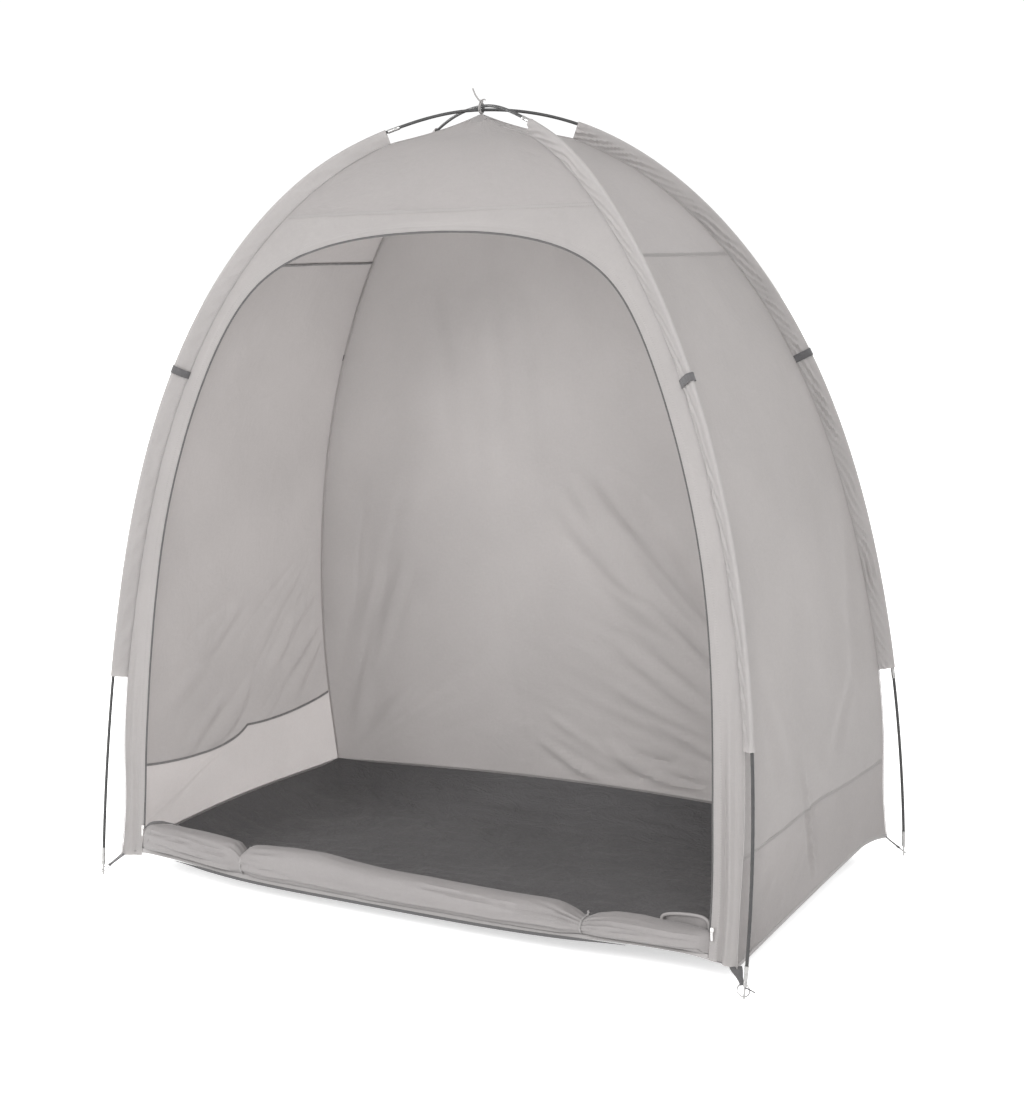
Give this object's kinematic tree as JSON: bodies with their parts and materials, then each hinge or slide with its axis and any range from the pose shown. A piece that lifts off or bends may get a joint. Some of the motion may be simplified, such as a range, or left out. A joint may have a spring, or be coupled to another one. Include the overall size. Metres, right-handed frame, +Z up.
{
  "type": "bike storage tent",
  "caption": "Small dome tent for storing bikes: crossed poles in fabric sleeves, D-shaped doorway with its door rolled down at the sill, fabric walls and groundsheet.",
  "frame": {"origin": "on the ground at the centre of the four pole feet", "axes": "+Z up, +X to the right along the doorway, +Y from the doorway to the back wall"},
  "size_m": [1.9276, 1.1216, 2.0751],
  "materials": {
    "fabric_outer": "matt coated polyester",
    "fabric_sleeve": "matt polyester",
    "fabric_door": "matt coated polyester",
    "groundsheet": "woven dark grey sheet",
    "webbing": "dark woven tape",
    "zip_tape": "dark coil zip",
    "zip_pull": "pale moulded pull",
    "glass_fibre_rod": "smooth dark grey rod",
    "plated_steel": "bright zinc plate",
    "tie_cord": "braided cord"
  },
  "bodies": {
    "root": {"apex_tie": "tie_cord", "back_top_panel": "fabric_outer", "back_wall": "fabric_outer", "band_back_left": "webbing", "band_back_right": "webbing", "band_front_left": "webbing", "band_front_right": "webbing", "corner_strap_back_left": "webbing", "corner_strap_back_right": "webbing", "corner_strap_front_left": "webbing", "corner_strap_front_right": "webbing", "door_head": "fabric_outer", "door_jamb_left": "fabric_outer", "door_jamb_right": "fabric_outer", "door_roll": "fabric_door", "door_sill": "fabric_outer", "door_tie_left": "tie_cord", "door_tie_right": "tie_cord", "door_zip": "zip_tape", "ferrule_crown_front_left": "plated_steel", "ferrule_crown_front_right": "plated_steel", "ferrule_leg_back_right": "plated_steel", "foot_ring_back_left": "plated_steel", "foot_ring_back_right": "plated_steel", "foot_ring_front_left": "plated_steel", "foot_ring_front_right": "plated_steel", "foot_tip_back_left": "plated_steel", "foot_tip_back_right": "plated_steel", "foot_tip_front_left": "plated_steel", "foot_tip_front_right": "plated_steel", "front_top_panel": "fabric_outer", "groundsheet": "groundsheet", "left_skirt": "fabric_outer", "left_top_panel": "fabric_outer", "left_wall": "fabric_outer", "pole_lower": "glass_fibre_rod", "pole_upper": "glass_fibre_rod", "right_skirt": "fabric_outer", "right_top_panel": "fabric_outer", "right_wall": "fabric_outer", "sleeve_back_left": "fabric_sleeve", "sleeve_back_right": "fabric_sleeve", "sleeve_front_left": "fabric_sleeve", "sleeve_front_right": "fabric_sleeve", "zip_slider_left": "zip_pull", "zip_slider_right": "zip_pull"}
  },
  "joints": []
}
